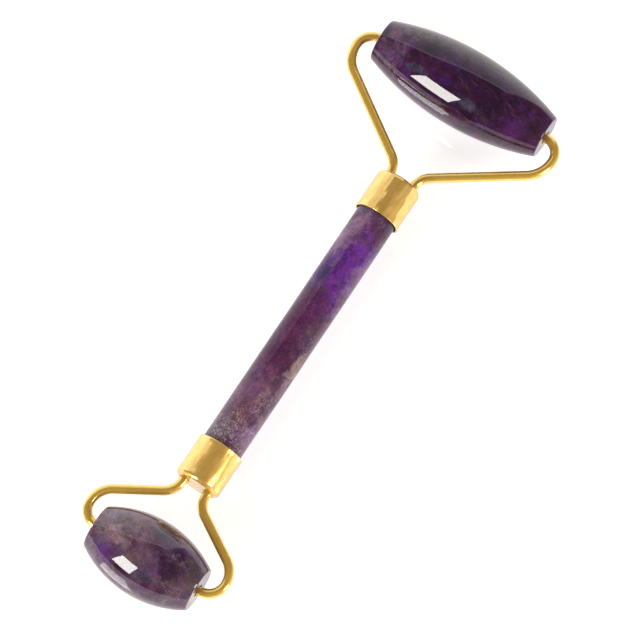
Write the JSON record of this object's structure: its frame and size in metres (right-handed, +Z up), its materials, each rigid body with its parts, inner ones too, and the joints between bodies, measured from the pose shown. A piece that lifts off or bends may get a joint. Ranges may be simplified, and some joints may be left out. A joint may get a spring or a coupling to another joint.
{
  "type": "facial massage roller",
  "caption": "Two-ended facial massage roller: polished purple stone handle and barrel rollers held by gold-coloured ferrules and bent wire forks.",
  "frame": {"origin": "middle of the object's footprint, on the surface that it lies on", "axes": "+X along the handle towards the large roller, +Y along the rollers' axes, +Z up, square to the plane of the handle and both forks"},
  "size_m": [0.145, 0.0536, 0.0177],
  "materials": {
    "stone": "polished translucent banded purple quartz",
    "ferrule_gold": "polished gold plating with faint lengthwise buffing marks",
    "wire_gold": "bright gold plating",
    "liner": "natural nylon",
    "adhesive": "cured clear epoxy"
  },
  "bodies": {
    "handle": {"handle_rod": "stone", "large_end_ferrule": "ferrule_gold", "small_end_ferrule": "ferrule_gold", "large_fork_wire": "wire_gold", "small_fork_wire": "wire_gold", "large_end_adhesive": "adhesive", "small_end_adhesive": "adhesive"},
    "large_roller": {"large_roller_stone": "stone", "large_roller_liner_left": "liner", "large_roller_liner_right": "liner"},
    "small_roller": {"small_roller_stone": "stone", "small_roller_liner_left": "liner", "small_roller_liner_right": "liner"}
  },
  "joints": [
    {"name": "large_roller_spin", "type": "hinge", "parent": "handle", "child": "large_roller", "pos_m": [0.0637, 0, 0.00885], "axis": [0, 1, 0], "continuous": true},
    {"name": "small_roller_spin", "type": "hinge", "parent": "handle", "child": "small_roller", "pos_m": [-0.0637, 0, 0.00885], "axis": [0, 1, 0], "continuous": true}
  ]
}
